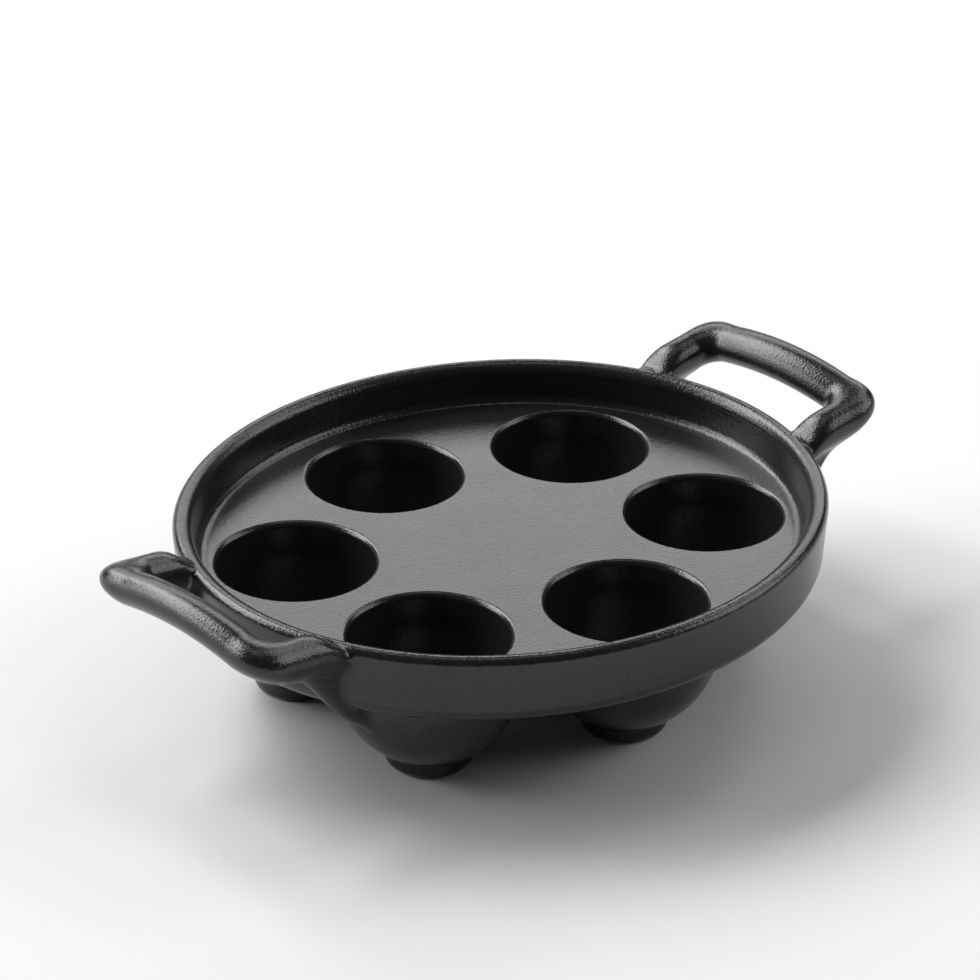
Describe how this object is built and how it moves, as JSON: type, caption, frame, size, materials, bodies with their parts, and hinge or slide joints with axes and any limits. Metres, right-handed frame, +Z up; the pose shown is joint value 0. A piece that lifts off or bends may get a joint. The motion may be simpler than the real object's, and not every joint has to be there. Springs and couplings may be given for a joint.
{
  "type": "escargot pan",
  "caption": "Oval cast-iron snail pan with round wells sunk in a flat deck, a raised rim, a foot under each well and an arched loop handle at each end.",
  "frame": {"origin": "centre of the pan, on the surface that its feet stand on", "axes": "+X along the pan's length, through the middle of the right-hand grip; +Y across it to the back; +Z up"},
  "size_m": [0.1804, 0.1324, 0.0471],
  "materials": {
    "satin_black_cast_iron": "satin black enamel over cast iron, with a fine pebbled grain"
  },
  "bodies": {
    "root": {"deck_plate": "satin_black_cast_iron", "rim_wall": "satin_black_cast_iron", "well_right_back": "satin_black_cast_iron", "well_right_front": "satin_black_cast_iron", "well_front": "satin_black_cast_iron", "well_left_front": "satin_black_cast_iron", "well_left_back": "satin_black_cast_iron", "well_back": "satin_black_cast_iron", "foot_right_back": "satin_black_cast_iron", "foot_right_front": "satin_black_cast_iron", "foot_front": "satin_black_cast_iron", "foot_left_front": "satin_black_cast_iron", "foot_left_back": "satin_black_cast_iron", "foot_back": "satin_black_cast_iron", "handle_right_grip": "satin_black_cast_iron", "handle_left_grip": "satin_black_cast_iron", "handle_right_arm_back": "satin_black_cast_iron", "handle_right_arm_front": "satin_black_cast_iron", "handle_left_arm_back": "satin_black_cast_iron", "handle_left_arm_front": "satin_black_cast_iron"}
  },
  "joints": []
}
